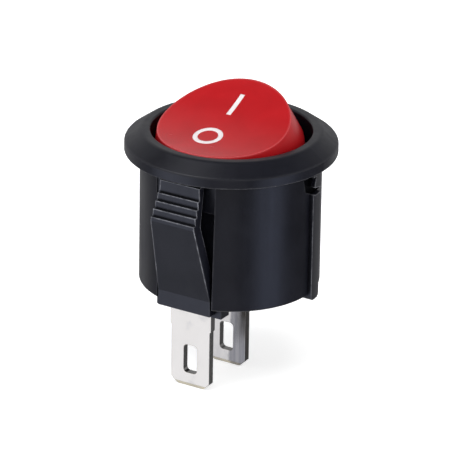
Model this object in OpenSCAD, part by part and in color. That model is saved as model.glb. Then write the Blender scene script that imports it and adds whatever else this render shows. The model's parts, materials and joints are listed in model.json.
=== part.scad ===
// Round snap-in panel rocker switch, on-off, with two blade terminals. Millimetres.
// +Z points out of the panel, X is the rocker's pivot axis, and +Y points to the end that
// is pressed for on. The origin is the centre of the bezel's underside, which sits on the
// panel. The rocker is drawn with its off end pressed down, and the contacts are open.

/* [Bezel] */
// Outer diameter of the bezel
bezel_d = 23; // [22.6:0.1:28]
// Height of the bezel's rim above the panel
bezel_h = 2.4; // [2.1:0.1:3]
// Height of the bezel's straight outer edge
edge_h = 1.3; // [0.6:0.1:1.6]
// Width of the flat land around the opening
land_w = 0.75; // [0.4:0.05:1]

/* [Barrel] */
// Diameter of the panel hole that the barrel goes into
hole_d = 20.2; // [20:0.1:20.4]
// Thickness of the barrel's wall
wall = 1.1; // [1:0.05:1.3]
// Depth of the barrel behind the panel
barrel_h = 14.8; // [14.4:0.1:20]
// Thickness of the barrel's floor
floor_t = 1.6; // [1.2:0.1:2]
// Width of the raised key on each side of the barrel
key_w = 1.8; // [1.5:0.1:2.2]
// How far each key stands out from the barrel
key_t = 0.45; // [0.3:0.05:0.5]
// How far the arm roots reach below the barrel
foot_drop = 0.75; // [0.4:0.05:1]
// How far the bosses around the terminals reach below the barrel
boss_drop = 1.2; // [0.8:0.1:2]

/* [Snap arms] */
// Width of an arm at its top
arm_top_w = 4.85; // [4.2:0.05:5.2]
// Width of an arm at its root
arm_root_w = 6.5; // [6:0.1:6.9]
// How far an arm's outer ridge stands out from the barrel
arm_reach = 1.95; // [1.6:0.05:2.1]
// Depth of each ledge that can catch the panel
ledge_step = 0.35; // [0.25:0.05:0.4]
// Thickness of the thinnest panel that a ledge catches
panel_min = 1.93; // [1.7:0.01:2.1]
// Height from one ledge to the next
ledge_pitch = 0.82; // [0.7:0.02:0.9]
// Thickness of an arm
arm_t = 1.3; // [1.1:0.05:1.4]

/* [Rocker] */
// Tilt of the rocker to each side, in degrees
tilt = 16.6; // [14:0.2:17]
// Depth of the pivot axis below the panel face
pivot_depth = 1.85; // [1.8:0.05:2]
// Height of the face's middle above the pivot axis
cap_h = 5.48; // [5.2:0.02:5.8]
// Radius of the hollow across the face
dish_r = 24.4; // [20:0.2:40]
// Thickness of the cap at its middle
cap_t = 1.3; // [1.1:0.1:1.5]
// Thickness of the rocker's skirt
skirt_t = 1; // [0.8:0.1:1.2]
// Diameter of the two pivot pins
pin_d = 1.7; // [1.5:0.05:1.9]

/* [Plunger and spring] */
// Diameter of the plunger
plunger_d = 2.4; // [2.2:0.05:2.5]
// Distance from the pivot axis to the middle of the plunger's round tip
plunger_reach = 4.2; // [4:0.05:4.4]
// Wire thickness of the spring
wire_d = 0.22; // [0.18:0.02:0.3]
// Number of turns in the spring
turns = 8; // [6:1:9]

/* [Contact lever] */
// Thickness of the lever's strip
strip_t = 0.5; // [0.4:0.05:0.6]
// Width of the lever's strip
lever_w = 4; // [3.6:0.1:4.4]
// Swing of the lever to each side, in degrees
swing = 8; // [6:0.5:9]
// Distance from the lever's fulcrum to its contact
contact_arm = 5.2; // [5:0.05:5.3]
// Diameter of the lever's contact head
contact_d = 1.8; // [1.6:0.1:2]

/* [Terminals] */
// Width of a blade
tab_w = 4.8; // [4.4:0.1:5]
// Thickness of a blade
tab_t = 0.8; // [0.6:0.05:0.85]
// Length of a blade below the barrel
tab_len = 10.25; // [8:0.05:14]
// Distance between the two blades
tab_pitch = 7.4; // [7.3:0.05:7.5]
// Width of the slot in a blade
slot_w = 1.7; // [1.2:0.1:2]
// Length of the slot in a blade
slot_h = 3.3; // [2:0.1:4]

/* [Hidden] */
$fn = 96;

// Clearances: run for what turns or slides, seat for what stands still
run = 0.05;
seat = 0.03;

// Bezel and barrel radii
bezel_r = bezel_d / 2;
barrel_r = hole_d / 2 - 0.3;
bore_r = barrel_r - wall;
land_r = bore_r + land_w;
low_edge = 0.15;
seat_edge = 0.12;
top_edge = 0.35;
crown_edge = 0.9;
rim_edge = 0.22;
floor_z = floor_t - barrel_h;

// Snap arms, at a distance from the axis and a height from the panel face
arm_top_z = -0.55;
ledges = 4;
ridge_r = barrel_r + arm_reach;
arm_top_r = ridge_r - ledges * ledge_step;
ridge_z = -panel_min - (ledges - 1) * ledge_pitch;
ridge_h = 0.45;
root_r = sqrt(barrel_r * barrel_r - arm_root_w * arm_root_w / 4);
root_z = floor_z - 0.6;
arm_gap = 0.14;
arm_thin = 0.3;
relief_h = 0.3;

// Pocket behind each arm: its back lies at pocket_r, and further out beside the rocker
pocket_r = tab_pitch + tab_t / 2 + 0.5;
pocket_t = 0.43;
pocket_top_r = bore_r + 0.3;
root_in = pocket_r - 0.4;

// Pivot and rocker, in the rocker's own frame with the pivot axis at its origin
pivot_z = -pivot_depth;
swing_gap = 0.15;
side_gap = 0.47;
skirt_r = bore_r - side_gap;
shoulder_z = (bore_r - swing_gap - skirt_r * cos(tilt)) / sin(tilt);
face_r = skirt_r - (cap_h - shoulder_z) * tan(tilt);
blank_h = cap_h + 2;
skirt_z = 0.8;
ear_z = -1.5;
ear_w = 5.2;
pad_r = pin_d / 2 + 0.8;
pad_x = skirt_r + 0.12;
pin_end = bore_r + 0.3;
sweep_z = pivot_z - skirt_r * sin(tilt) + skirt_z * cos(tilt) - 0.25;

// Keys: their foot reaches below the barrel, and a recess crosses them below the bezel
key_y = 0.15 + key_w / 2;
key_drop = 0.6;
key_edge = 0.45;
recess_y = -1.1;
recess_top = pivot_z + 0.75;
recess_low = pivot_z - 1.35;
recess_t = 0.5;

// Plunger, guide and spring, in the rocker's frame
tip_r = plunger_d / 2;
guide_r = tip_r + run;
boss_r = guide_r + 0.85;
boss_z = -2.8;
bore_top = cap_h - cap_t - 0.6;
plunger_top = boss_z + 1.4;
stem_r = 0.55;
stem_top = plunger_top + 2;
coil_r = stem_r + 0.12 + wire_d / 2;

// Contact lever: a shallow V on a rounded apex, which is its fulcrum
apex_r = 0.3;
rest_rise = 7.5;
rise = swing + rest_rise;
waist_w = plunger_d + 0.1;
waist_l = tab_t + 0.45;
contact_h = 0.5;
dome_r = 1.6;
long_arm = contact_arm + contact_d / 2 + 0.2;
short_arm = 5.3;

// Distance from the pivot axis to the fulcrum, where the plunger's tip just clears the
// lever at every point of the rocker's travel; s is +1 for the arm at the on end
function tip_drop(t, s) =
    let (lean = tilt * (1 - 2 * t), slope = rise - s * swing * (1 - 2 * t))
    (tip_r + run + strip_t - apex_r + s * plunger_reach * sin(lean) * sin(slope)) / cos(slope)
        + plunger_reach * cos(lean);
fulcrum_z = pivot_z - max([for (t = [0:0.05:1], s = [-1, 1]) tip_drop(t, s)]);

// Contacts: the fixed one lies where the lever's dome lands
dome_up = dome_r - apex_r - contact_h;
touch_y = contact_arm * cos(rest_rise) - dome_up * sin(rest_rise);
touch_z = fulcrum_z + contact_arm * sin(rest_rise) + dome_up * cos(rest_rise) - dome_r - run;
fixed_d = 2.2;
fixed_h = 0.5;
shelf_z = touch_z - fixed_h;
shelf_in = touch_y - fixed_d / 2 - 0.3;
shank_d = 1.1;

// Terminals
root_w = tab_w + 0.3;
root_drop = boss_drop + 2;
stop_w = tab_w + 1.2;
stop_h = 1;
tip_z = -barrel_h - tab_len;
tip_chamfer = 0.8;
bevel_h = 0.4;
bevel_t = 0.2;
slot_r = 0.45;
slot_z = tip_z + 1.6;
horn_z = fulcrum_z + 0.6;
boss_w = 8.1;
boss_l = tab_t + 0.8;
ledge_y = 4.2;
ledge_l = 0.9;
ledge_z = fulcrum_z + ledge_y * tan(rest_rise) - apex_r / cos(rest_rise) - run;

// Extrudes an outline drawn in Y and Z along X, centred
module along_x(w) {
    rotate([90, 0, 90])
        linear_extrude(w, center = true)
            children();
}

// Extrudes an outline drawn in X and Z along Y, centred
module along_y(w) {
    rotate([90, 0, 0])
        linear_extrude(w, center = true)
            children();
}

// The children at the off end, and again at the on end
module both_ends() {
    for (turn = [0, 180])
        rotate([0, 0, turn])
            children();
}

// Moves the children from the rocker's own frame to its place, tilted to the off end
module in_rocker() {
    translate([0, 0, pivot_z])
        rotate([tilt, 0, 0])
            children();
}

// Moves the children from the lever's own frame to its place, contacts open
module in_lever() {
    translate([0, 0, fulcrum_z])
        rotate([-swing, 0, 0])
            children();
}

// Rectangle with rounded corners, from its lower left corner
module rounded(w, h, r) {
    translate([r, 0])
        square([w - 2 * r, h]);
    translate([0, r])
        square([w, h - 2 * r]);
    for (x = [r, w - r], y = [r, h - r])
        translate([x, y])
            circle(r);
}

// Points of an arc from angle a0 to angle a1
function arc(x, y, r, a0, a1, n = 6) = [
    for (i = [0:n])
        let (a = a0 + (a1 - a0) * i / n)
        [x + r * cos(a), y + r * sin(a)]
];

// Bezel and barrel wall, with no floor and no openings
module shell() {
    fall = atan2(bezel_h - edge_h, bezel_r - land_r);
    rotate_extrude()
        polygon(concat(
            [[bore_r, -barrel_h]],
            arc(barrel_r - low_edge, low_edge - barrel_h, low_edge, -90, 0),
            [[barrel_r, 0]],
            arc(bezel_r - seat_edge, seat_edge, seat_edge, -90, 0, 3),
            arc(bezel_r - top_edge, edge_h - top_edge, top_edge, 0, 90 - fall),
            arc(land_r, bezel_h - crown_edge, crown_edge, 90 - fall, 90),
            arc(bore_r + rim_edge, bezel_h - rim_edge, rim_edge, 90, 180)
        ));
}

// Pocket in the wall that an arm stands in, from the panel face down: its sides are
// straight beside the panel and lean in below it
module arm_pocket() {
    straight_z = -panel_min - 0.4;
    top_w = arm_root_w / 2 + 0.35;
    low_w = arm_root_w / 2 + arm_gap;
    depth = 2 * wall + 2;
    intersection() {
        translate([0, -pocket_r - depth / 2, 0])
            along_y(depth)
                polygon([
                    [-low_w, -barrel_h - 1],
                    [low_w, -barrel_h - 1],
                    [top_w, straight_z],
                    [top_w, 0],
                    [-top_w, 0],
                    [-top_w, straight_z]
                ]);
        along_x(3 * top_w)
            polygon([
                [-pocket_r - depth, -barrel_h - 1],
                [-pocket_r, -barrel_h - 1],
                [-pocket_r, sweep_z],
                [-pocket_top_r, sweep_z],
                [-pocket_top_r, 0],
                [-pocket_r - depth, 0]
            ]);
    }
}

// Flat wall behind a pocket, inside the barrel
module pocket_back() {
    translate([-arm_root_w / 2 - 0.6, -pocket_r, -barrel_h])
        cube([arm_root_w + 1.2, pocket_t, sweep_z + barrel_h]);
}

// Spring arm with a stepped outer face, joined to the floor at its root
module snap_arm() {
    steps = [
        for (i = [0:ledges - 1], k = [0, 1])
            [-arm_top_r - (i + k) * ledge_step, -panel_min - i * ledge_pitch]
    ];
    intersection() {
        along_x(arm_root_w)
            polygon(concat(
                [[-arm_top_r, arm_top_z]],
                steps,
                [
                    [-ridge_r, ridge_z - ridge_h],
                    [-root_r, root_z],
                    [-root_r, -barrel_h - foot_drop],
                    [-root_in, -barrel_h - foot_drop],
                    [-root_in, floor_z],
                    [arm_t - ridge_r, ridge_z - ridge_h],
                    [arm_t - arm_thin - arm_top_r, arm_top_z]
                ]
            ));
        along_y(3 * barrel_r)
            polygon([
                [-arm_root_w / 2, -barrel_h - foot_drop],
                [arm_root_w / 2, -barrel_h - foot_drop],
                [arm_root_w / 2, root_z],
                [arm_top_w / 2 + 0.25, ridge_z],
                [arm_top_w / 2, arm_top_z],
                [-arm_top_w / 2, arm_top_z],
                [-arm_top_w / 2 - 0.25, ridge_z],
                [-arm_root_w / 2, root_z]
            ]);
    }
}

// Shallow pocket in the bezel's underside above an arm
module arm_relief() {
    relief_r = arm_top_r + ledge_step + 0.1;
    intersection() {
        translate([-arm_top_w / 2 - 0.5, -relief_r, -relief_h])
            cube([arm_top_w + 1, relief_r - pocket_top_r, 2 * relief_h]);
        cylinder(r = bezel_r - seat_edge - 0.12, h = 4 * relief_h, center = true);
    }
}

// Raised key on the barrel beside a pivot, which keeps the switch from turning in its hole
module key() {
    intersection() {
        translate([pin_end, key_y - key_w / 2, -barrel_h - key_drop])
            rotate([90, 0, 90])
                linear_extrude(2 * wall) {
                    rounded(key_w, barrel_h, key_edge);
                    translate([0, barrel_h / 2])
                        square([key_w, barrel_h / 2 + key_drop]);
                }
        cylinder(r = barrel_r + key_t, h = 4 * barrel_h, center = true);
    }
}

// Pad inside the barrel wall that lengthens a pivot pin's bearing
module pivot_pad() {
    intersection() {
        translate([pad_x, 0, pivot_z])
            rotate([0, 90, 0])
                cylinder(r = pad_r, h = barrel_r - pad_x);
        cylinder(r = bore_r + wall / 2, h = 4 * barrel_h, center = true);
    }
}

// Blind bearing hole for a pivot pin
module pivot_hole() {
    translate([bore_r - 1, 0, pivot_z])
        rotate([0, 90, 0])
            cylinder(d = pin_d + 2 * run, h = pin_end + run - bore_r + 1);
}

// Recess outside a pivot: a window, and from its foot a slot that runs through the key and
// out of the barrel's curve
module pivot_recess() {
    slot_end = key_y + key_w / 2 + 1.25;
    translate([barrel_r + 1 - recess_t, 0, 0])
        along_x(2)
            polygon([
                [recess_y, recess_top],
                [key_y - 0.25, recess_top],
                [key_y - 0.65, recess_low + 0.9],
                [slot_end, recess_low + 0.2],
                [slot_end, recess_low],
                [key_y - 0.4, recess_low],
                [recess_y + 0.4, recess_low + 0.55]
            ]);
}

// Boss below the floor around a terminal at distance y
module terminal_boss(y) {
    translate([-boss_w / 2, y - boss_l / 2, -barrel_h - boss_drop])
        cube([boss_w, boss_l, boss_drop + floor_t / 2]);
}

// Slot through the floor for a terminal at distance y
module terminal_slot(y) {
    translate([0, y, -barrel_h])
        cube([root_w + 2 * seat, tab_t + 2 * seat, 4 * floor_t], center = true);
}

module housing() {
    shelf_low = shelf_z - tab_t - seat;
    color("#1c1d20")
        difference() {
            union() {
                difference() {
                    union() {
                        shell();
                        translate([0, 0, -barrel_h])
                            cylinder(r = bore_r + wall / 2, h = floor_t);
                    }
                    both_ends()
                        arm_pocket();
                }
                both_ends() {
                    pocket_back();
                    snap_arm();
                    key();
                    pivot_pad();
                }
                terminal_boss(0);
                terminal_boss(-tab_pitch);
                // rest under the fixed contact's shelf
                translate([-2.2, 1.1 - tab_pitch, floor_z - 0.5])
                    cube([4.4, tab_pitch - 1.1 - shelf_in, shelf_low - floor_z + 0.5]);
                // ledge that stops the lever's free end
                translate([-lever_w / 2, ledge_y, floor_z - 0.5])
                    cube([lever_w, ledge_l, ledge_z - floor_z + 0.5]);
            }
            both_ends() {
                pivot_hole();
                pivot_recess();
                arm_relief();
            }
            terminal_slot(0);
            terminal_slot(-tab_pitch);
        }
}

// Outer form of the rocker: a cone cut by the hollow face, on a straight skirt
module rocker_blank() {
    top_r = face_r - (blank_h - cap_h) * tan(tilt);
    difference() {
        rotate_extrude()
            polygon([
                [0, ear_z],
                [skirt_r, ear_z],
                [skirt_r, shoulder_z],
                [top_r, blank_h],
                [0, blank_h]
            ]);
        translate([0, 0, cap_h + dish_r])
            rotate([0, 90, 0])
                cylinder(r = dish_r, h = 4 * bore_r, center = true, $fn = 360);
    }
}

module rocker() {
    roof_z = cap_h - cap_t;
    roof_r = face_r + cap_t * tan(tilt) - skirt_t - 0.2;
    color("#c0202a")
        in_rocker() {
            difference() {
                union() {
                    difference() {
                        rocker_blank();
                        // hollow inside the skirt
                        rotate_extrude()
                            polygon([
                                [0, ear_z - 1],
                                [skirt_r - skirt_t, ear_z - 1],
                                [skirt_r - skirt_t, shoulder_z],
                                [roof_r, roof_z],
                                [0, roof_z]
                            ]);
                        // the skirt is short at both ends and long beside the pins
                        for (s = [-1, 1])
                            translate([0, s * (ear_w / 2 + bore_r), skirt_z - 5])
                                cube([3 * bore_r, 2 * bore_r, 10], center = true);
                    }
                    translate([0, 0, boss_z])
                        cylinder(r = boss_r, h = roof_z - boss_z + 0.3);
                }
                translate([0, 0, boss_z - 1])
                    cylinder(r = guide_r, h = bore_top - boss_z + 1);
            }
            // pivot pins
            for (s = [-1, 1])
                translate([s * (pin_end + skirt_r - skirt_t / 2) / 2, 0, 0])
                    rotate([0, 90, 0])
                        cylinder(d = pin_d, h = pin_end - skirt_r + skirt_t / 2, center = true);
        }
}

// Round-tipped pin that the rocker presses on the lever, with a stem inside the spring
module plunger() {
    color("#e8e4d8")
        in_rocker()
            rotate_extrude() {
                translate([0, -plunger_reach])
                    square([tip_r, plunger_top + plunger_reach]);
                intersection() {
                    translate([0, -plunger_reach])
                        circle(tip_r);
                    translate([0, -plunger_reach - tip_r])
                        square([tip_r, 2 * tip_r]);
                }
                translate([0, plunger_top - 0.2])
                    square([stem_r, stem_top - plunger_top + 0.2]);
            }
}

// Points of a round wire wound n turns from height z0 to z1, one ring after another
function coil_points(r, w, z0, z1, n, seg, sides) = [
    for (i = [0:n * seg], j = [0:sides - 1])
        let (
            a = 360 * i / seg,
            b = 360 * j / sides,
            z = z0 + (z1 - z0) * i / (n * seg)
        )
        [(r + w * cos(b)) * cos(a), (r + w * cos(b)) * sin(a), z + w * sin(b)]
];

// Side and end faces that join those rings
function coil_faces(rings, sides) = concat(
    [[for (j = [sides - 1:-1:0]) j]],
    [
        for (i = [0:rings - 2], j = [0:sides - 1])
            let (k = (j + 1) % sides)
            [i * sides + j, i * sides + k, (i + 1) * sides + k, (i + 1) * sides + j]
    ],
    [[for (j = [0:sides - 1]) (rings - 1) * sides + j]]
);

module plunger_spring() {
    seg = 16;
    sides = 6;
    low = plunger_top + wire_d / 2 + seat;
    high = bore_top - wire_d / 2 - seat;
    color("#b8bcc2")
        in_rocker()
            polyhedron(
                coil_points(coil_r, wire_d / 2, low, high, turns, seg, sides),
                coil_faces(turns * seg + 1, sides),
                convexity = 10
            );
}

// Side outline of the lever: two arms that rise from the round apex
module lever_side() {
    for (s = [-1, 1]) {
        reach = s > 0 ? short_arm : long_arm;
        rotate(s * rise)
            translate([s > 0 ? 0 : -reach, -apex_r])
                square([reach, strip_t]);
    }
    intersection() {
        circle(apex_r);
        translate([-apex_r, -apex_r])
            square([2 * apex_r, strip_t]);
    }
}

// Moves the children to the lever's contact, with +Z across the strip
module at_contact() {
    rotate([-rise, 0, 0])
        translate([0, -contact_arm, 0])
            children();
}

module contact_lever() {
    color("#b98a3e")
        in_lever()
            difference() {
                intersection() {
                    along_x(lever_w)
                        lever_side();
                    union() {
                        for (s = [-1, 1])
                            translate([0, s * (waist_l / 2 + bore_r), 0])
                                cube([lever_w, 2 * bore_r, 2 * bore_r], center = true);
                        cube([waist_w, 2 * waist_l, 2 * bore_r], center = true);
                    }
                }
                at_contact()
                    cylinder(d = shank_d + 2 * seat, h = 4, center = true, $fn = 48);
            }
}

module lever_contact() {
    head_low = -apex_r - contact_h;
    strip_top = strip_t - apex_r;
    color("#d9d9d6")
        in_lever()
            at_contact() {
                translate([0, 0, -apex_r - seat - 0.1])
                    cylinder(d = shank_d, h = strip_t + 2 * seat + 0.2, $fn = 48);
                translate([0, 0, strip_top + seat])
                    cylinder(d = shank_d + 0.5, h = 0.25, $fn = 48);
                intersection() {
                    translate([0, 0, head_low + dome_r])
                        sphere(r = dome_r, $fn = 64);
                    translate([0, 0, head_low])
                        cylinder(d = contact_d, h = contact_h - seat, $fn = 48);
                }
            }
}

// Blade outline in X and Z, from the tip up to height top
module blade_face(top) {
    half = tab_w / 2;
    wide = root_w / 2;
    root = -barrel_h - root_drop;
    difference() {
        union() {
            polygon([
                [tip_chamfer - half, tip_z],
                [half - tip_chamfer, tip_z],
                [half, tip_z + tip_chamfer],
                [half, root - 0.2],
                [wide, root],
                [wide, top],
                [-wide, top],
                [-wide, root],
                [-half, root - 0.2],
                [-half, tip_z + tip_chamfer]
            ]);
            translate([-stop_w / 2, floor_z + seat])
                square([stop_w, stop_h]);
        }
        translate([-slot_w / 2, slot_z])
            rounded(slot_w, slot_h, slot_r);
    }
}

// Blade outline in Y and Z: the tip is bevelled on both faces
module blade_side(top) {
    half = tab_t / 2;
    polygon([
        [bevel_t - half, tip_z],
        [half - bevel_t, tip_z],
        [half, tip_z + bevel_h],
        [half, top],
        [-half, top],
        [-half, tip_z + bevel_h]
    ]);
}

// Centre blade: the lever's apex rests between the two horns at its top
module common_terminal() {
    saddle_z = fulcrum_z - apex_r - seat;
    horn_in = waist_w / 2 + 0.08;
    color("#cfcdc6")
        intersection() {
            along_y(tab_t)
                difference() {
                    blade_face(horn_z);
                    translate([-horn_in, saddle_z])
                        square([2 * horn_in, horn_z - saddle_z + 1]);
                }
            along_x(stop_w)
                blade_side(horn_z);
        }
}

// End blade: its top is folded inwards to a shelf that carries the fixed contact
module load_terminal() {
    bend = tab_t + 0.4;
    color("#cfcdc6")
        difference() {
            union() {
                translate([0, -tab_pitch, 0])
                    intersection() {
                        along_y(tab_t)
                            blade_face(shelf_z - bend);
                        along_x(stop_w)
                            blade_side(shelf_z);
                    }
                along_x(root_w)
                    fold_side(bend);
            }
            translate([0, -touch_y, shelf_z - 2])
                cylinder(d = shank_d + 2 * seat, h = 4, $fn = 48);
        }
}

// Side outline of the folded top: a quarter bend and the shelf
module fold_side(bend) {
    out_y = -tab_pitch - tab_t / 2;
    translate([out_y + bend, shelf_z - bend])
        intersection() {
            difference() {
                circle(bend);
                circle(bend - tab_t);
            }
            translate([-bend, 0])
                square(bend);
        }
    translate([out_y + bend, shelf_z - tab_t])
        square([-shelf_in - out_y - bend, tab_t]);
}

module fixed_contact() {
    color("#d9d9d6")
        translate([0, -touch_y, shelf_z]) {
            translate([0, 0, seat])
                cylinder(d = fixed_d, h = fixed_h - seat, $fn = 64);
            translate([0, 0, -tab_t])
                cylinder(d = shank_d, h = tab_t + 0.2, $fn = 48);
        }
}

housing();
rocker();
plunger();
plunger_spring();
contact_lever();
lever_contact();
common_terminal();
load_terminal();
fixed_contact();
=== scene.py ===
"""Looks of a round snap-in panel rocker switch: finishes, the marks on its face, and the stage.

All lengths are in metres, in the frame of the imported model: +Z points out of the panel.
"""

import json
import math

import bmesh
import bpy
from mathutils import Matrix, Vector
from mathutils.bvhtree import BVHTree


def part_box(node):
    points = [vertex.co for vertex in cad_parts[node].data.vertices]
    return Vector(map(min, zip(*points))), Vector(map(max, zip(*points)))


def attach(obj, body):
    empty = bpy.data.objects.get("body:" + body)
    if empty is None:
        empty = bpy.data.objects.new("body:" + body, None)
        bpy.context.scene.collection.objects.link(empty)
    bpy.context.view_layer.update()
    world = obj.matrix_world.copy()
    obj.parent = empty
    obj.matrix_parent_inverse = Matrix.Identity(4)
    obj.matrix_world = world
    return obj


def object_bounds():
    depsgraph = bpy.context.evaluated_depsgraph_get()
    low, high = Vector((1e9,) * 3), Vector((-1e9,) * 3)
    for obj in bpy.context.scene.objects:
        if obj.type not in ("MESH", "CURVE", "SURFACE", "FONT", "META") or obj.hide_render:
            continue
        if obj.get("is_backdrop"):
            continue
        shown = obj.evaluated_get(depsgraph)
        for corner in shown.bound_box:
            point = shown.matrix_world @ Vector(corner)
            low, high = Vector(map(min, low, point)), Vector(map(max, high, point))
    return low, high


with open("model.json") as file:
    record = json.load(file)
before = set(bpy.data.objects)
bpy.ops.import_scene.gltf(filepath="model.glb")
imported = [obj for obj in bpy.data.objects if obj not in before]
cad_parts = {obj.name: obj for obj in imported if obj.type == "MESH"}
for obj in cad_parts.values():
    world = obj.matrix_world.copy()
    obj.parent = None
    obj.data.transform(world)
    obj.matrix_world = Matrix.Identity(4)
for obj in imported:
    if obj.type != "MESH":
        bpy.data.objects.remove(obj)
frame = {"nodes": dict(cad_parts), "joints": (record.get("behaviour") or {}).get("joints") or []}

bl_info = {
    "name": "Panel rocker switch",
    "version": (1, 0, 0),
    "blender": (4, 5, 0),
    "location": "3D View > Sidebar > Switch",
    "description": "Finishes, face marks and stage for a round panel rocker switch",
    "category": "Object",
}

MM = 0.001
JOINTS = {joint["name"]: joint for joint in frame["joints"]}

# Places on the housing that its finish, its painted shade and its painted highlight follow: the barrel's
# radius, and the distance to the side and the height beyond which the recesses beside the pivots lie
BARREL_R = 9.8 * MM
RECESS_BEYOND = 9.15 * MM
RECESS_ABOVE = -4.0 * MM

# Height over the pivot from which points on the rocker's face are sought
OVER_FACE = 20.0 * MM


# ---------------------------------------------------------------- sizes and colours


def length(name, description, default_mm, low_mm=0.0, high_mm=100.0):
    """A length property whose default is given in millimetres."""
    return bpy.props.FloatProperty(
        name=name,
        description=description,
        default=default_mm * MM,
        min=low_mm * MM,
        max=high_mm * MM,
        precision=5,
        unit="LENGTH",
    )


def colour(name, description, default):
    """A colour property, in linear red, green and blue."""
    return bpy.props.FloatVectorProperty(
        name=name, description=description, default=default, size=3, min=0.0, max=1.0, subtype="COLOR"
    )


def factor(name, description, default, low=0.0, high=1.0):
    """A plain number between two limits."""
    return bpy.props.FloatProperty(name=name, description=description, default=default, min=low, max=high)


class HousingLook(bpy.types.PropertyGroup):
    """Moulded black nylon of the bezel, barrel and snap arms."""

    nylon: colour("Nylon", "Colour of the moulded nylon", (0.0042, 0.0045, 0.0078))
    nylon_pale: colour("Pale nylon", "Colour where the nylon has a slight bloom", (0.0064, 0.0068, 0.0115))
    # Painted shade: colour painted into recesses and tight corners where shade falls
    shade: colour("Recess", "Colour of dull recesses and tight corners", (0.0026, 0.0028, 0.0036))
    # Painted highlight: light line painted along outer edges where they catch the light
    painted_highlight: colour("Rubbed edges", "Colour of the thin rubbed line on outer edges", (0.24, 0.245, 0.27))
    roughness: factor("Roughness", "Roughness of the barrel", 0.36)
    edge: length("Edge rounding", "Radius of the moulded edges", 0.07, 0.0, 0.3)


class RockerLook(bpy.types.PropertyGroup):
    """Polished red plastic of the rocker, and the marks on its face."""

    red: colour("Red", "Colour of the rocker", (0.49, 0.009, 0.013))
    deep_red: colour("Deep red", "Colour in the cloudier places of the moulding", (0.41, 0.007, 0.010))
    # Painted highlight: pale line painted along the rim where it catches the light
    rim: colour("Rim", "Colour of the thin rubbed line along the rim", (0.74, 0.14, 0.15))
    roughness: factor("Roughness", "Roughness of the polished face", 0.2)
    edge: length("Edge rounding", "Radius of the face's rim", 0.36, 0.0, 0.6)
    white: colour("Mark", "Colour of the marks", (0.86, 0.82, 0.82))
    mark_x: length("Mark offset", "Distance of both marks from the middle line", -0.42, -3.0, 3.0)
    stroke: length("Stroke", "Width of the strokes", 0.53, 0.1, 1.5)
    bar_start: length("Bar start", "Distance from the middle of the face to the bar", 1.58, -6.0, 6.0)
    bar_end: length("Bar end", "Distance from the middle of the face to the bar's far end", 4.81, -6.0, 6.0)
    ring_y: length("Ring place", "Distance from the face's middle to the ring's centre", -2.64, -6.0, 6.0)
    ring_d: length("Ring diameter", "Outer diameter of the ring", 3.27, 1.0, 6.0)
    print_t: length("Print height", "How far the marks stand proud of the face", 0.012, 0.0, 0.1)


class TerminalLook(bpy.types.PropertyGroup):
    """Plated blades."""

    plate: colour("Plating", "Colour of the bright plating", (0.87, 0.80, 0.645))
    stain: colour("Stain", "Colour of the plating where it has dulled", (0.64, 0.60, 0.53))
    sheared: colour("Sheared edges", "Colour of the blades' sheared edges", (0.42, 0.415, 0.40))
    # Painted shade: darker colour on one side of the centre blade, for the dark reflection of the other
    # blade's back
    shade_streaks: colour("Streaks", "Colour of the centre blade's dull side", (0.195, 0.185, 0.175))
    roughness: factor("Roughness", "Roughness of the blade's faces", 0.18)
    # Where the painted shade on the centre blade begins
    painted_shade_side: length("Dull side", "Distance from the blade's middle to its dull side", 0.45, 0.0, 2.4)
    edge: length("Edge rounding", "Radius of the stamped edges", 0.05, 0.0, 0.3)


class WorksLook(bpy.types.PropertyGroup):
    """Contacts, lever, plunger and spring inside the housing."""

    brass: colour("Brass", "Colour of the lever's strip", (0.62, 0.40, 0.16))
    silver: colour("Silver", "Colour of the contact rivets", (0.83, 0.82, 0.79))
    steel: colour("Spring wire", "Colour of the spring's wire", (0.52, 0.53, 0.55))
    acetal: colour("Acetal", "Colour of the plunger", (0.78, 0.76, 0.68))
    edge: length("Edge rounding", "Radius of the small parts' edges", 0.04, 0.0, 0.3)


class StageLook(bpy.types.PropertyGroup):
    """Floor, lights and camera."""

    floor: colour("Floor", "Colour of the floor", (0.90, 0.90, 0.895))
    floor_glow: factor("Floor glow", "How much the pale floor is lit from below", 0.58)
    floor_gap: length("Floor gap", "Gap between the part and the floor", 0.05, 0.0, 10.0)
    floor_side: length("Floor side", "Length of the floor's sides", 3200.0, 500.0, 10000.0)
    azimuth: bpy.props.FloatProperty(
        name="Azimuth",
        description="Direction the camera looks from, from the front towards the right",
        default=math.radians(31.31),
        subtype="ANGLE",
    )
    elevation: bpy.props.FloatProperty(
        name="Elevation",
        description="Height of the camera above the horizon",
        default=math.radians(22.985),
        subtype="ANGLE",
    )
    roll: bpy.props.FloatProperty(
        name="Roll",
        description="Turn of the picture",
        default=math.radians(0.928),
        subtype="ANGLE",
    )
    distance: length("Distance", "Distance from the camera to the bezel's middle", 491.24, 100.0, 2000.0)
    across: length("Across", "Sideways place of the camera", 0.329, -50.0, 50.0)
    up: length("Up", "Upward place of the camera", -11.205, -50.0, 50.0)
    lens: bpy.props.FloatProperty(
        name="Lens",
        description="Focal length in millimetres on a 36 mm wide sensor",
        default=354.66,
        min=20.0,
        max=1000.0,
    )


LOOKS = {
    "switch_housing": HousingLook,
    "switch_rocker": RockerLook,
    "switch_terminals": TerminalLook,
    "switch_works": WorksLook,
    "switch_stage": StageLook,
}


# ---------------------------------------------------------------- material building


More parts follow.
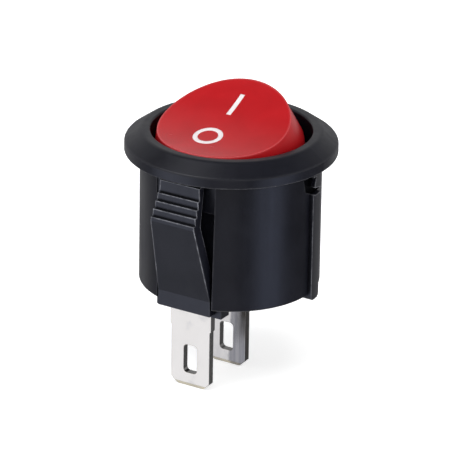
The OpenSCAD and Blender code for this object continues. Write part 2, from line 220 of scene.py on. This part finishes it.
class Recipe:
    """Short way to write one material's nodes."""

    def __init__(self, name):
        self.material = bpy.data.materials.new(name)
        self.material.use_nodes = True
        self.tree = self.material.node_tree
        self.tree.nodes.clear()
        self.shader = self.node("ShaderNodeBsdfPrincipled")
        self.output = self.node("ShaderNodeOutputMaterial")
        self.join(self.shader.outputs["BSDF"], self.output.inputs["Surface"])
        self.coords = self.node("ShaderNodeTexCoord")

    def node(self, kind, **settings):
        """New node of a kind, with its settings."""
        made = self.tree.nodes.new(kind)
        for key, value in settings.items():
            setattr(made, key, value)
        return made

    def join(self, source, target):
        """Links an output to an input."""
        self.tree.links.new(source, target)

    def fix(self, **values):
        """Sets sockets of the shader, with underscores for spaces."""
        for key, value in values.items():
            socket = self.shader.inputs[key.replace("_", " ")]
            socket.default_value = (*value, 1.0) if key == "Base_Color" else value

    def stretched(self, x, y, z):
        """The object's own coordinates, stretched."""
        mapping = self.node("ShaderNodeMapping")
        mapping.inputs["Scale"].default_value = (x, y, z)
        self.join(self.coords.outputs["Object"], mapping.inputs["Vector"])
        return mapping.outputs["Vector"]

    def noise(self, scale, detail=4.0, rough=0.5, distort=0.0, where=None):
        """Fractal noise; the scale is in features per metre."""
        made = self.node("ShaderNodeTexNoise")
        made.inputs["Scale"].default_value = scale
        made.inputs["Detail"].default_value = detail
        made.inputs["Roughness"].default_value = rough
        made.inputs["Distortion"].default_value = distort
        self.join(where or self.coords.outputs["Object"], made.inputs["Vector"])
        return made.outputs["Fac"]

    def span(self, value, low, high, out_low=0.0, out_high=1.0):
        """Maps a value from one span to another, clamped."""
        made = self.node("ShaderNodeMapRange", clamp=True)
        for key, number in (
            ("From Min", low),
            ("From Max", high),
            ("To Min", out_low),
            ("To Max", out_high),
        ):
            made.inputs[key].default_value = number
        self.join(value, made.inputs["Value"])
        return made.outputs["Result"]

    def calc(self, operation, first, second):
        """One step of arithmetic on numbers or sockets."""
        made = self.node("ShaderNodeMath", operation=operation)
        for index, value in enumerate((first, second)):
            if isinstance(value, (int, float)):
                made.inputs[index].default_value = value
            else:
                self.join(value, made.inputs[index])
        return made.outputs["Value"]

    def tint(self, amount, first, second):
        """Colour between two colours, by an amount."""
        made = self.node("ShaderNodeMix", data_type="RGBA")
        for value, name in ((first, "A"), (second, "B")):
            socket = next(s for s in made.inputs if s.type == "RGBA" and s.name == name)
            if isinstance(value, bpy.types.NodeSocket):
                self.join(value, socket)
            else:
                socket.default_value = (*value, 1.0)
        self.join(amount, made.inputs["Factor"])
        return next(s for s in made.outputs if s.type == "RGBA")

    def relief(self, height, depth, strength=1.0, under=None):
        """Bump from a height; depth is in metres."""
        made = self.node("ShaderNodeBump")
        made.inputs["Distance"].default_value = depth
        made.inputs["Strength"].default_value = strength
        self.join(height, made.inputs["Height"])
        if under is not None:
            self.join(under, made.inputs["Normal"])
        return made.outputs["Normal"]

    def rounded(self, radius):
        """Normal that rounds the edges of the surface."""
        made = self.node("ShaderNodeBevel", samples=8)
        made.inputs["Radius"].default_value = radius
        return made.outputs["Normal"]

    def openness(self, reach, inside=False):
        """Low in corners narrower than the reach or, seen from inside, at outer edges."""
        made = self.node("ShaderNodeAmbientOcclusion", samples=8, inside=inside, only_local=True)
        made.inputs["Distance"].default_value = reach
        return made.outputs["AO"]

    def facing(self, axis):
        """How squarely the surface faces along an axis of the object, from 0 to 1."""
        parts = self.node("ShaderNodeSeparateXYZ")
        self.join(self.coords.outputs["Normal"], parts.inputs["Vector"])
        return self.calc("ABSOLUTE", parts.outputs[axis], 0.0)


def moulded_nylon(name, look):
    """Black nylon with a fine mould grain, faint draw lines, a slight bloom and a painted highlight along
    outer edges.

    Painted shade darkens tight corners, pockets in the wall and the recesses beside the pivots, in colour
    and in reflection.
    """
    r = Recipe(name)
    bloom = r.noise(220.0, 3.0, 0.6, 0.4)
    draw_lines = r.noise(1500.0, 5.0, 0.6, 0.0, r.stretched(1.0, 1.0, 0.04))
    grain = r.noise(9000.0, 3.0, 0.6)
    highlight_breakup = r.noise(1100.0, 3.0, 0.6)
    radius, sunk, recesses = wall_places(r)

    # Painted shade: darker colour and weaker reflections in tight corners, deep pockets of the wall and the
    # recesses beside the pivots
    corners = r.span(r.openness(0.4 * MM), 0.45, 0.9, 1.0, 0.0)
    pockets = r.calc("MULTIPLY", sunk, r.span(r.openness(3.0 * MM), 0.3, 0.65, 0.45, 0.0))
    dull = r.calc("MAXIMUM", r.calc("MAXIMUM", recesses, pockets), corners)

    # Painted highlight: thin light line on outer edges that stand proud, broken up by noise
    edges = r.span(r.openness(0.16 * MM, inside=True), 0.55, 0.9, 1.0, 0.0)
    standing_proud = r.span(radius, BARREL_R + 0.1 * MM, BARREL_R + 0.7 * MM, 0.12, 1.0)
    painted_highlight = r.calc("MULTIPLY", edges, r.span(highlight_breakup, 0.38, 0.62, 0.3, 1.0))
    painted_highlight = r.calc("MULTIPLY", painted_highlight, standing_proud)

    nylon = r.tint(r.span(bloom, 0.35, 0.7), look.nylon, look.nylon_pale)
    nylon = r.tint(painted_highlight, nylon, look.painted_highlight)
    r.join(r.tint(dull, nylon, look.shade), r.shader.inputs["Base Color"])
    r.join(r.span(dull, 0.0, 1.0, 0.5, 0.03), r.shader.inputs["Specular IOR Level"])
    gloss = r.calc(
        "ADD",
        r.span(bloom, 0.3, 0.7, look.roughness - 0.05, look.roughness + 0.05),
        r.span(draw_lines, 0.35, 0.65, -0.03, 0.03),
    )
    r.join(gloss, r.shader.inputs["Roughness"])
    lines = r.relief(draw_lines, 0.004 * MM, 0.5, r.rounded(look.edge))
    r.join(r.relief(grain, 0.006 * MM, 0.35, lines), r.shader.inputs["Normal"])
    r.fix(IOR=1.53)
    return r.material


def wall_places(r):
    """Distance from the housing's axis, and two masks.

    The first is one below the bezel and inside the barrel's surface, the second is one only in
    the recesses beside the pivots.
    """
    place = r.node("ShaderNodeSeparateXYZ")
    r.join(r.coords.outputs["Object"], place.inputs["Vector"])
    squares = [r.calc("MULTIPLY", place.outputs[axis], place.outputs[axis]) for axis in ("X", "Y")]
    radius = r.calc("POWER", r.calc("ADD", *squares), 0.5)
    below_bezel = r.span(place.outputs["Z"], -0.2 * MM, -0.1 * MM, 1.0, 0.0)
    sunk = r.span(radius, BARREL_R - 0.1 * MM, BARREL_R - 0.02 * MM, 1.0, 0.0)
    sunk = r.calc("MULTIPLY", sunk, below_bezel)
    side = r.calc("ABSOLUTE", place.outputs["X"], 0.0)
    beside_pivot = r.span(side, RECESS_BEYOND, RECESS_BEYOND + 0.05 * MM)
    above_foot = r.span(place.outputs["Z"], RECESS_ABOVE, RECESS_ABOVE + 0.5 * MM)
    recesses = r.calc("MULTIPLY", r.calc("MULTIPLY", sunk, beside_pivot), above_foot)
    return radius, sunk, recesses


def polished_red(name, look):
    """Red plastic: a polished face with flow clouds, haze and hairlines, duller sides, and a painted
    highlight along the rim.
    """
    r = Recipe(name)
    cloud = r.noise(160.0, 3.0, 0.55, 0.6)
    haze = r.noise(420.0, 4.0, 0.6, 0.2)
    hairlines = r.noise(2600.0, 2.0, 0.5, 0.0, r.stretched(0.06, 1.0, 1.0))
    face = r.span(r.facing("Z"), 0.3, 0.65)

    red = r.tint(r.span(cloud, 0.35, 0.7), look.red, look.deep_red)
    # Painted highlight: pale line along the rim, where it catches the light
    rim = r.span(r.openness(0.3 * MM, inside=True), 0.5, 0.9, 0.7, 0.0)
    r.join(r.tint(rim, red, look.rim), r.shader.inputs["Base Color"])
    gloss = r.calc(
        "ADD",
        r.span(haze, 0.35, 0.7, look.roughness - 0.04, look.roughness + 0.06),
        r.span(hairlines, 0.6, 0.75, 0.0, 0.05),
    )
    gloss = r.calc("ADD", gloss, r.span(face, 0.0, 1.0, 0.2, 0.0))
    r.join(gloss, r.shader.inputs["Roughness"])
    r.join(r.span(face, 0.0, 1.0, 0.22, 0.5), r.shader.inputs["Specular IOR Level"])
    r.join(r.span(face, 0.0, 1.0, 0.03, 0.25), r.shader.inputs["Coat Weight"])
    flow = r.relief(cloud, 0.02 * MM, 0.35, r.rounded(look.edge))
    r.join(r.relief(hairlines, 0.002 * MM, 0.3, flow), r.shader.inputs["Normal"])
    r.fix(IOR=1.5, Coat_Roughness=0.08)
    r.fix(Subsurface_Weight=0.08, Subsurface_Scale=0.5 * MM, Subsurface_Radius=(1.0, 0.15, 0.1))
    return r.material


def printed_white(name, look):
    """White print with a slightly uneven ink film."""
    r = Recipe(name)
    ink = r.noise(2600.0, 4.0, 0.6, 0.3)
    thin = tuple(c * k for c, k in zip(look.white, (0.97, 0.86, 0.87)))
    r.join(r.tint(r.span(ink, 0.4, 0.75), look.white, thin), r.shader.inputs["Base Color"])
    r.join(r.span(ink, 0.3, 0.7, 0.38, 0.52), r.shader.inputs["Roughness"])
    r.join(r.relief(ink, 0.004 * MM, 0.4), r.shader.inputs["Normal"])
    r.fix(IOR=1.48)
    return r.material


def bright_plate(name, look, painted_shade_side=0.0):
    """Bright plating over rolled strip: rolling lines on the faces, drag lines on the edges.

    Beyond the given distance from the blade's middle line, its plating is painted darker in streaks:
    painted shade for the dark reflection of the other blade's back.
    """
    r = Recipe(name)
    rolled = r.noise(2400.0, 5.0, 0.65, 0.0, r.stretched(1.0, 1.0, 0.03))
    drag = r.noise(5200.0, 3.0, 0.6, 0.0, r.stretched(1.0, 1.0, 0.05))
    clouds = r.noise(330.0, 4.0, 0.6, 0.5)
    pits = r.noise(6800.0, 2.0, 0.5)
    sheared = r.span(r.facing("Y"), 0.2, 0.75, 1.0, 0.0)

    plating = r.tint(r.span(clouds, 0.54, 0.8, 0.0, 0.6), look.plate, look.stain)
    plating = r.tint(sheared, plating, look.sheared)
    # Painted shade: beyond the given distance the plating is darkened in streaks, for the dark reflection
    # of the other blade's back
    if painted_shade_side:
        place = r.node("ShaderNodeSeparateXYZ")
        r.join(r.coords.outputs["Object"], place.inputs["Vector"])
        ragged = r.calc("ADD", place.outputs["X"], r.span(clouds, 0.3, 0.7, -0.3 * MM, 0.3 * MM))
        side = r.span(ragged, painted_shade_side - 0.15 * MM, painted_shade_side + 0.15 * MM, 0.3, 1.0)
        streaks = r.span(rolled, 0.3, 0.7, 0.75, 1.0)
        plating = r.tint(r.calc("MULTIPLY", side, streaks), plating, look.shade_streaks)
    r.join(plating, r.shader.inputs["Base Color"])
    gloss = r.calc(
        "ADD",
        r.span(clouds, 0.3, 0.75, look.roughness - 0.06, look.roughness + 0.12),
        r.calc("MULTIPLY", sheared, r.span(drag, 0.3, 0.7, 0.04, 0.2)),
    )
    r.join(gloss, r.shader.inputs["Roughness"])
    lines = r.relief(rolled, 0.004 * MM, 0.45, r.rounded(look.edge))
    edges = r.relief(r.calc("MULTIPLY", drag, sheared), 0.02 * MM, 0.6, lines)
    r.join(r.relief(r.span(pits, 0.62, 0.8), 0.006 * MM, -0.4, edges), r.shader.inputs["Normal"])
    r.fix(Metallic=1.0)
    return r.material


def small_metal(name, base, roughness, along, edge):
    """Drawn or rolled metal with lines along one axis."""
    r = Recipe(name)
    lines = r.noise(4200.0, 4.0, 0.6, 0.0, r.stretched(*along))
    clouds = r.noise(700.0, 3.0, 0.6, 0.3)
    worn = tuple(c * 0.8 for c in base)
    r.join(r.tint(r.span(clouds, 0.4, 0.75), base, worn), r.shader.inputs["Base Color"])
    r.join(r.span(lines, 0.3, 0.7, roughness - 0.07, roughness + 0.1), r.shader.inputs["Roughness"])
    r.join(r.relief(lines, 0.003 * MM, 0.4, r.rounded(edge)), r.shader.inputs["Normal"])
    r.fix(Metallic=1.0)
    return r.material


def plain_acetal(name, look):
    """Natural acetal, slightly waxy."""
    r = Recipe(name)
    cloud = r.noise(900.0, 3.0, 0.6)
    warm = tuple(c * k for c, k in zip(look.acetal, (0.97, 0.95, 0.9)))
    r.join(r.tint(r.span(cloud, 0.35, 0.7), look.acetal, warm), r.shader.inputs["Base Color"])
    r.join(r.span(cloud, 0.3, 0.7, 0.32, 0.42), r.shader.inputs["Roughness"])
    r.join(r.relief(cloud, 0.003 * MM, 0.3, r.rounded(look.edge)), r.shader.inputs["Normal"])
    r.fix(Subsurface_Weight=0.15, Subsurface_Scale=0.6 * MM)
    return r.material


# ---------------------------------------------------------------- mesh helpers


def node_object(name):
    """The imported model's object of that name."""
    if name not in frame["nodes"]:
        raise RuntimeError(f"the packed model has no node named {name}")
    return frame["nodes"][name]


def dress(name, material):
    """Gives a node its material."""
    materials = node_object(name).data.materials
    materials.clear()
    materials.append(material)


def rocker_frame():
    """Matrix from the rocker's own frame, face up and pivot at its origin, to its place at rest."""
    joint = JOINTS["rocker_tilt"]
    half = math.radians(sum(joint["range_deg"]) / 2)
    turn = Matrix.Rotation(-half, 4, Vector(joint["axis"]))
    return Matrix.Translation(Vector(joint["pos_m"])) @ turn


class FaceOfRocker:
    """Finds points on the rocker's hollow face from sizes in the rocker's own frame."""

    def __init__(self):
        self.to_row = rocker_frame()
        mesh = node_object("rocker").data
        self.tree = BVHTree.FromPolygons(
            [v.co for v in mesh.vertices], [p.vertices[:] for p in mesh.polygons]
        )
        self.down = (self.to_row.to_3x3() @ Vector((0.0, 0.0, -1.0))).normalized()

    def point(self, x, y, lift):
        """The place over x and y on the face, lifted a little off it."""
        start = self.to_row @ Vector((x, y, OVER_FACE))
        hit = self.tree.ray_cast(start, self.down)[0]
        if hit is None:
            raise RuntimeError("a mark lies outside the rocker's face")
        return hit - self.down * lift


def mark_mesh(name, rows, face, height, closed):
    """Thin print on the face from rows of points across the stroke, with sloped sides."""
    made = bmesh.new()
    root = -0.01 * MM
    rings = []
    for row in rows:
        across = [row[0], *row, row[-1]]
        lifts = [root] + [height] * len(row) + [root]
        rings.append([made.verts.new(face.point(x, y, lift)) for (x, y), lift in zip(across, lifts)])
    pairs = zip(rings, rings[1:] + rings[:1]) if closed else zip(rings, rings[1:])
    for first, second in pairs:
        for i in range(len(first) - 1):
            made.faces.new((first[i], first[i + 1], second[i + 1], second[i]))
        made.faces.new((first[-1], first[0], second[0], second[-1]))
    if not closed:
        made.faces.new(rings[0][::-1])
        made.faces.new(rings[-1])
    bmesh.ops.recalc_face_normals(made, faces=made.faces)
    mesh = bpy.data.meshes.new(name)
    made.to_mesh(mesh)
    made.free()
    mesh.shade_smooth()
    piece = bpy.data.objects.new(name, mesh)
    bpy.context.scene.collection.objects.link(piece)
    return piece


# ---------------------------------------------------------------- operators


class SWITCH_OT_housing(bpy.types.Operator):
    """Finish the bezel, barrel and snap arms in moulded black nylon"""

    bl_idname = "switch.housing"
    bl_label = "Housing"

    def execute(self, context):
        look = context.scene.switch_housing
        dress("housing", moulded_nylon("Black nylon", look))
        return {"FINISHED"}


class SWITCH_OT_rocker(bpy.types.Operator):
    """Finish the rocker in polished red plastic"""

    bl_idname = "switch.rocker"
    bl_label = "Rocker"

    def execute(self, context):
        look = context.scene.switch_rocker
        dress("rocker", polished_red("Polished red", look))
        return {"FINISHED"}


class SWITCH_OT_marks(bpy.types.Operator):
    """Print the bar for on and the ring for off on the rocker's face"""

    bl_idname = "switch.marks"
    bl_label = "Face marks"

    def execute(self, context):
        look = context.scene.switch_rocker
        face = FaceOfRocker()
        material = printed_white("White print", look)
        across = [-0.5, -0.25, 0.0, 0.25, 0.5]
        steps = 24
        reach = look.bar_end - look.bar_start
        bar_rows = [
            [(look.mark_x + a * look.stroke, look.bar_start + reach * i / steps) for a in across]
            for i in range(steps + 1)
        ]
        middle = (look.ring_d - look.stroke) / 2
        sides = 72
        ring_rows = []
        for i in range(sides):
            angle = 2 * math.pi * i / sides
            radii = [middle + a * look.stroke for a in across]
            ring_rows.append(
                [
                    (look.mark_x + r * math.cos(angle), look.ring_y + r * math.sin(angle))
                    for r in radii
                ]
            )
        for name, rows, closed in (("mark_on", bar_rows, False), ("mark_off", ring_rows, True)):
            piece = mark_mesh(name, rows, face, look.print_t, closed)
            piece.data.materials.append(material)
            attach(piece, "rocker")
        return {"FINISHED"}


class SWITCH_OT_terminals(bpy.types.Operator):
    """Finish both blades in bright plating"""

    bl_idname = "switch.terminals"
    bl_label = "Terminals"

    def execute(self, context):
        look = context.scene.switch_terminals
        dress("load_terminal", bright_plate("Bright plate", look))
        # The centre blade gets painted shade on one side
        dress("common_terminal", bright_plate("Plate with painted shade", look, look.painted_shade_side))
        return {"FINISHED"}


class SWITCH_OT_works(bpy.types.Operator):
    """Finish the lever, contacts, plunger and spring inside the housing"""

    bl_idname = "switch.works"
    bl_label = "Works"

    def execute(self, context):
        look = context.scene.switch_works
        silver = small_metal("Contact silver", look.silver, 0.28, (1.0, 1.0, 1.0), look.edge)
        dress("lever_contact", silver)
        dress("fixed_contact", silver)
        brass = small_metal("Rolled brass", look.brass, 0.3, (1.0, 0.05, 1.0), look.edge)
        dress("contact_lever", brass)
        steel = small_metal("Spring wire", look.steel, 0.3, (1.0, 1.0, 0.3), look.edge)
        dress("plunger_spring", steel)
        dress("plunger", plain_acetal("Natural acetal", look))
        return {"FINISHED"}


# ---------------------------------------------------------------- stage


def toward(azimuth, elevation):
    """Unit vector towards a place in the studio: azimuth from the front to the right, both in degrees."""
    a, e = math.radians(azimuth), math.radians(elevation)
    return Vector((math.sin(a) * math.cos(e), -math.cos(a) * math.cos(e), math.sin(e)))


def fill_light(aim, name, azimuth, elevation, reach, side, power):
    """Large square light that faces a point and only gives soft, matte light."""
    light = bpy.data.lights.new(name, "AREA")
    light.shape = "SQUARE"
    light.size = side
    light.energy = power
    piece = bpy.data.objects.new(name, light)
    away = toward(azimuth, elevation)
    piece.location = aim + away * reach
    piece.rotation_euler = away.to_track_quat("Z", "Y").to_euler()
    piece.visible_glossy = False
    bpy.context.scene.collection.objects.link(piece)


# Fill lights: name, azimuth, elevation, distance, side and power
FILLS = (
    ("Top fill", 20.0, 75.0, 0.8, 0.7, 3.4),
    ("Right fill", 75.0, 30.0, 0.8, 0.6, 2.2),
    ("Left fill", -40.0, 25.0, 0.8, 0.6, 1.2),
)

# Dim studio: its tone, and for the sky and the ground the angles from straight up or down
# between which the light fades, with its strength inside and outside
STUDIO_TONE = (1.0, 1.0, 1.02)
SKY = (30.0, 75.0, 0.11, 0.44)
GROUND = (76.0, 92.0, 0.14, 1.0)

# Pale screens round the studio, which gloss reflects: azimuth, elevation, angle of the
# bright middle, angle of the soft edge, colour
SCREENS = (
    (-31.0, -23.0, 8.0, 32.0, (0.88, 0.94, 1.18)),
    (27.0, -23.0, 5.0, 18.0, (0.30, 0.30, 0.35)),
    (83.0, -23.0, 10.0, 22.0, (0.68, 0.77, 1.10)),
    (176.0, -23.0, 10.0, 28.0, (0.32, 0.32, 0.33)),
    (-110.0, -23.0, 12.0, 34.0, (0.30, 0.30, 0.31)),
    (-140.0, 32.0, 8.0, 28.0, (0.15, 0.15, 0.15)),
    (-32.0, 52.0, 9.0, 26.0, (2.20, 2.20, 2.30)),
    (0.0, -90.0, 20.0, 40.0, (1.00, 1.00, 1.00)),
)


class SWITCH_OT_stage(bpy.types.Operator):
    """Make the floor, the soft studio light and the camera"""

    bl_idname = "switch.stage"
    bl_label = "Stage"

    def execute(self, context):
        look = context.scene.switch_stage
        scene = context.scene
        low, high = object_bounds()
        self.make_floor(look, low.z - look.floor_gap)
        self.make_world(scene)
        self.make_lights((low + high) / 2)
        self.make_camera(scene, look)
        scene.view_settings.view_transform = "Standard"
        return {"FINISHED"}

    def make_floor(self, look, height):
        """Pale floor under the part, lit a little from within."""
        r = Recipe("Studio floor")
        soft = r.noise(18.0, 3.0, 0.5)
        shade = tuple(c * 0.985 for c in look.floor)
        r.join(r.tint(r.span(soft, 0.3, 0.7), look.floor, shade), r.shader.inputs["Base Color"])
        r.fix(Roughness=0.75, Specular_IOR_Level=0.25)
        r.fix(Emission_Color=(1.0, 1.0, 1.0, 1.0), Emission_Strength=look.floor_glow)
        mesh = bpy.data.meshes.new("studio_floor")
        half = look.floor_side / 2
        ways = ((-1, -1), (1, -1), (1, 1), (-1, 1))
        mesh.from_pydata([(x * half, y * half, height) for x, y in ways], [], [(0, 1, 2, 3)])
        mesh.materials.append(r.material)
        piece = bpy.data.objects.new("studio_floor", mesh)
        piece.visible_glossy = False
        bpy.context.scene.collection.objects.link(piece)
        piece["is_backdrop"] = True

    def make_world(self, scene):
        """Dim studio, darker overhead, with a few pale screens round it."""
        world = bpy.data.worlds.new("Studio")
        world.use_nodes = True
        tree = world.node_tree
        background = tree.nodes["Background"]
        way = tree.nodes.new("ShaderNodeTexCoord").outputs["Generated"]
        total = tree.nodes.new("ShaderNodeVectorMath")
        total.operation = "SCALE"
        total.inputs[0].default_value = STUDIO_TONE
        sky = self.cone(tree, way, Vector((0.0, 0.0, 1.0)), *SKY)
        ground = self.cone(tree, way, Vector((0.0, 0.0, -1.0)), *GROUND)
        shade = tree.nodes.new("ShaderNodeMath")
        shade.operation = "MULTIPLY"
        tree.links.new(sky, shade.inputs[0])
        tree.links.new(ground, shade.inputs[1])
        tree.links.new(shade.outputs["Value"], total.inputs["Scale"])
        so_far = total.outputs["Vector"]
        for azimuth, elevation, inner, outer, tone in SCREENS:
            screen = tree.nodes.new("ShaderNodeVectorMath")
            screen.operation = "MULTIPLY_ADD"
            amount = self.cone(tree, way, toward(azimuth, elevation), inner, outer, 1.0, 0.0)
            tree.links.new(amount, screen.inputs[0])
            screen.inputs[1].default_value = tone
            tree.links.new(so_far, screen.inputs[2])
            so_far = screen.outputs["Vector"]
        tree.links.new(so_far, background.inputs["Color"])
        background.inputs["Strength"].default_value = 1.0
        scene.world = world

    def cone(self, tree, way, axis, inner, outer, inside, outside):
        """Value inside a cone round an axis, fading to another value outside it."""
        dot = tree.nodes.new("ShaderNodeVectorMath")
        dot.operation = "DOT_PRODUCT"
        tree.links.new(way, dot.inputs[0])
        dot.inputs[1].default_value = axis
        fade = tree.nodes.new("ShaderNodeMapRange")
        fade.interpolation_type = "SMOOTHSTEP"
        fade.inputs["From Min"].default_value = math.cos(math.radians(outer))
        fade.inputs["From Max"].default_value = math.cos(math.radians(inner))
        fade.inputs["To Min"].default_value = outside
        fade.inputs["To Max"].default_value = inside
        tree.links.new(dot.outputs["Value"], fade.inputs["Value"])
        return fade.outputs["Result"]

    def make_lights(self, aim):
        """Soft fill lights round a point."""
        for fill in FILLS:
            fill_light(aim, *fill)

    def make_camera(self, scene, look):
        """Camera that looks down on the bezel from its azimuth and elevation."""
        a, e = look.azimuth, look.elevation
        right = Vector((math.cos(a), math.sin(a), 0.0))
        upward = Vector((-math.sin(a) * math.sin(e), math.cos(a) * math.sin(e), math.cos(e)))
        back = right.cross(upward)
        bezel_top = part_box("housing")[1]
        camera = bpy.data.objects.new("Camera", bpy.data.cameras.new("Camera"))
        camera.data.sensor_width = 36.0
        camera.data.lens = look.lens
        camera.data.clip_start = 0.01
        camera.data.clip_end = 20.0
        turn = Matrix((right, upward, back)).transposed()
        camera.rotation_mode = "QUATERNION"
        camera.rotation_quaternion = (turn @ Matrix.Rotation(look.roll, 3, "Z")).to_quaternion()
        camera.location = (
            right * look.across + upward * look.up + back * look.distance + Vector((0.0, 0.0, bezel_top.z))
        )
        scene.collection.objects.link(camera)
        scene.camera = camera


class SWITCH_PT_panel(bpy.types.Panel):
    """Lists the steps and their sizes and colours"""

    bl_label = "Rocker switch"
    bl_idname = "SWITCH_PT_panel"
    bl_space_type = "VIEW_3D"
    bl_region_type = "UI"
    bl_category = "Switch"

    def draw(self, context):
        for step in STEPS:
            self.layout.operator(step.bl_idname)
        for key, look in LOOKS.items():
            box = self.layout.box()
            group = getattr(context.scene, key)
            for prop in look.__annotations__:
                box.prop(group, prop)


STEPS = (
    SWITCH_OT_housing,
    SWITCH_OT_rocker,
    SWITCH_OT_marks,
    SWITCH_OT_terminals,
    SWITCH_OT_works,
    SWITCH_OT_stage,
)


def register():
    for look in LOOKS.values():
        bpy.utils.register_class(look)
    for step in STEPS:
        bpy.utils.register_class(step)
    bpy.utils.register_class(SWITCH_PT_panel)
    for key, look in LOOKS.items():
        setattr(bpy.types.Scene, key, bpy.props.PointerProperty(type=look))


def unregister():
    for key in LOOKS:
        delattr(bpy.types.Scene, key)
    bpy.utils.unregister_class(SWITCH_PT_panel)
    for step in reversed(STEPS):
        bpy.utils.unregister_class(step)
    for look in reversed(list(LOOKS.values())):
        bpy.utils.unregister_class(look)


def main():
    bpy.context.view_layer.update()
    register()
    for step in STEPS:
        group, name = step.bl_idname.split(".")
        getattr(getattr(bpy.ops, group), name)()
    bpy.context.view_layer.update()


if __name__ == "__main__":
    main()
